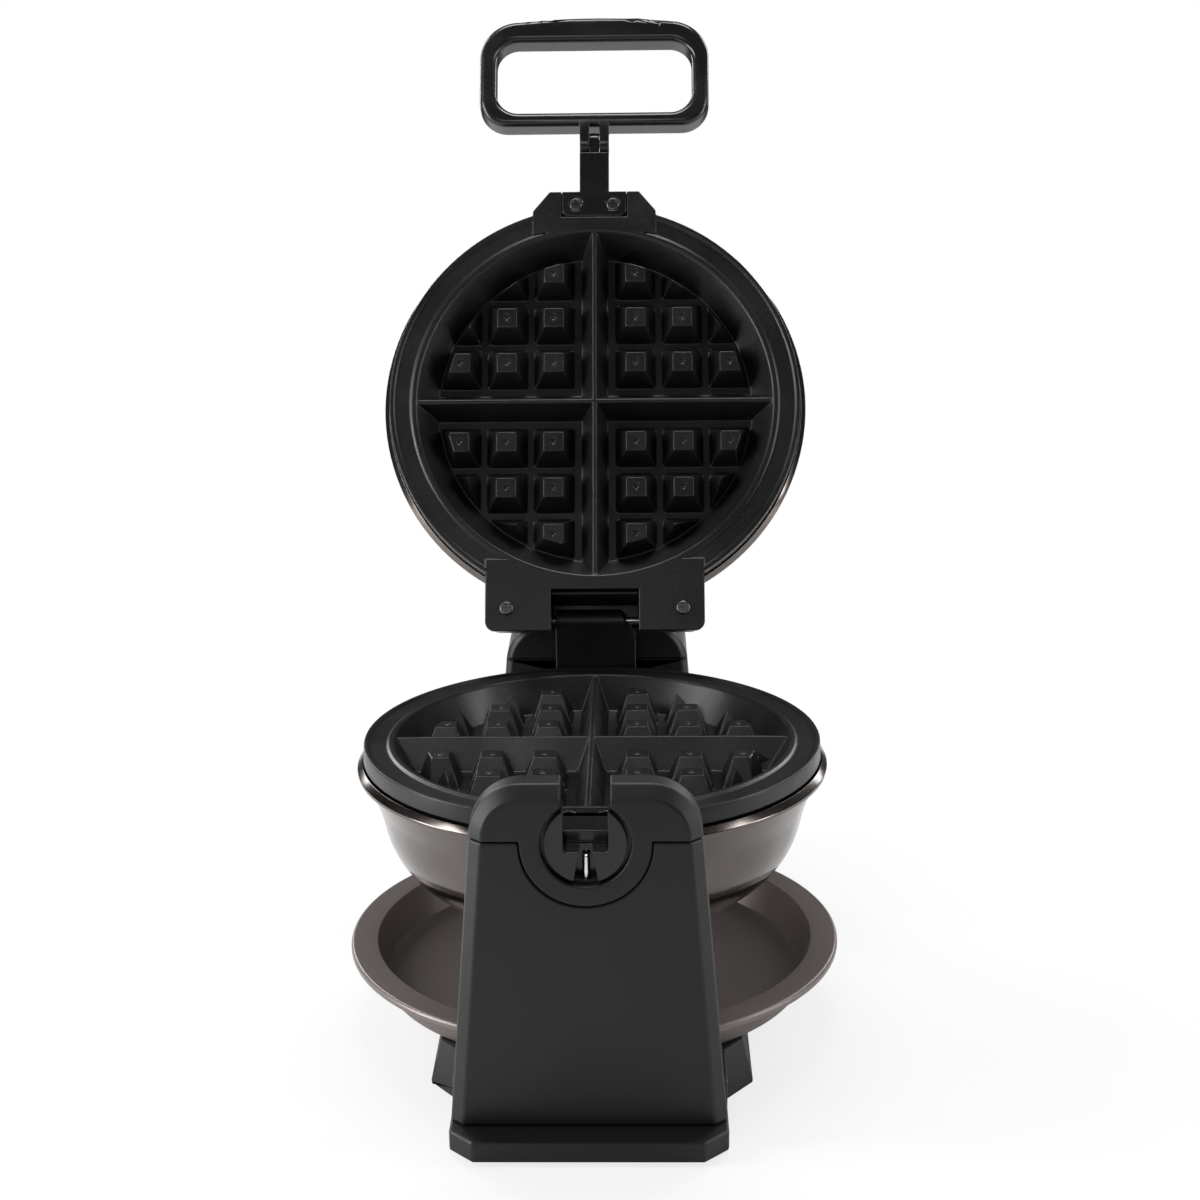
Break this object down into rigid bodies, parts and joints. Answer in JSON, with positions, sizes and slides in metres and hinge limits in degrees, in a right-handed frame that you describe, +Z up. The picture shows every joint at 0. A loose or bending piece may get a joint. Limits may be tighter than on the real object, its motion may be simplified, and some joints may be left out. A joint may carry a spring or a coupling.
{
  "type": "belgian waffle maker",
  "caption": "Countertop flip waffle maker: hinged lid open over a round gridded plate, turning head between two towers, drip tray and folding loop handle.",
  "frame": {"origin": "on the table under the middle of the whole object with its lid open", "axes": "+Z up, +X to the right seen from the front, +Y to the back; the handle side is the front"},
  "size_m": [0.2332, 0.4012, 0.4647],
  "materials": {
    "nonstick_cast": "cast aluminium with speckled dark nonstick coating",
    "polished_bowl": "polished dark steel",
    "dark_casting": "satin dark coated casting",
    "gloss_black": "glossy black heat-resistant plastic",
    "base_plastic": "fine textured charcoal plastic",
    "tray_dark": "satin dark nonstick metal",
    "bush_nylon": "black nylon",
    "rubber": "black rubber and silicone",
    "steel": "plain steel",
    "chrome_pin": "chromed",
    "screw_steel": "zinc plated screws",
    "heater_sheath": "oxidised heater sheath",
    "ceramic_white": "ceramic and sleeved parts"
  },
  "bodies": {
    "base": {"base_frame": "base_plastic", "base_cover": "steel", "cover_screws": "screw_steel", "rubber_feet": "rubber", "tower_screws": "screw_steel", "front_tower": "base_plastic", "front_cap": "base_plastic", "front_bush": "bush_nylon", "cap_screws": "screw_steel", "lock_guide": "base_plastic", "lock_spring": "steel", "rear_tower": "base_plastic", "rear_cap": "base_plastic", "rear_pedestal": "base_plastic", "rear_bush": "bush_nylon", "rear_keeper": "steel", "keeper_screws": "screw_steel", "cord_gland": "rubber", "terminal_block": "base_plastic"},
    "lock_pin": {"lock_pin": "chrome_pin"},
    "tray": {"drip_tray": "tray_dark"},
    "head": {"lower_plate": "nonstick_cast", "lower_bowl": "polished_bowl", "lower_gasket": "rubber", "lower_heater": "heater_sheath", "lower_reflector": "steel", "lower_standoffs": "steel", "lower_bowl_screws": "screw_steel", "lower_thermostat": "ceramic_white", "lower_fuse": "ceramic_white", "front_trunnion": "gloss_black", "trunnion_screws": "screw_steel", "hinge_bracket": "dark_casting", "bracket_screws": "screw_steel", "shaft_collar": "steel"},
    "lid": {"lid_plate": "nonstick_cast", "lid_bowl": "polished_bowl", "lid_gasket": "rubber", "lid_heater": "heater_sheath", "lid_reflector": "steel", "lid_standoffs": "steel", "lid_bowl_screws": "screw_steel", "lid_thermostat": "ceramic_white", "lid_fuse": "ceramic_white", "lid_bracket": "dark_casting", "hinge_pin": "steel", "lug_screws": "screw_steel", "handle_neck": "gloss_black", "neck_screws": "screw_steel", "handle_pin": "steel"},
    "handle": {"handle_loop": "gloss_black"}
  },
  "joints": [
    {"name": "lock_pin_slide", "type": "slide", "parent": "base", "child": "lock_pin", "axis": [0, 0, -1], "range_m": [0, 0.01], "stiffness_N_per_m": 150, "springref_m": -0.003, "deforming": ["lock_spring"]},
    {"name": "tray_slide", "type": "slide", "parent": "base", "child": "tray", "axis": [1, 0, 0], "range_m": [0, 0.24]},
    {"name": "head_turn", "type": "hinge", "parent": "base", "child": "head", "pos_m": [0, -0.05314, 0.1395], "axis": [0, 1, 0], "range_deg": [-6, 6]},
    {"name": "lid_hinge", "type": "hinge", "parent": "head", "child": "lid", "pos_m": [0, 0.05936, 0.1638], "axis": [1, 0, 0], "range_deg": [0, 116.8]},
    {"name": "handle_fold", "type": "hinge", "parent": "lid", "child": "handle", "pos_m": [0, 0.16314, 0.39986], "axis": [1, 0, 0], "range_deg": [0, 90]}
  ]
}
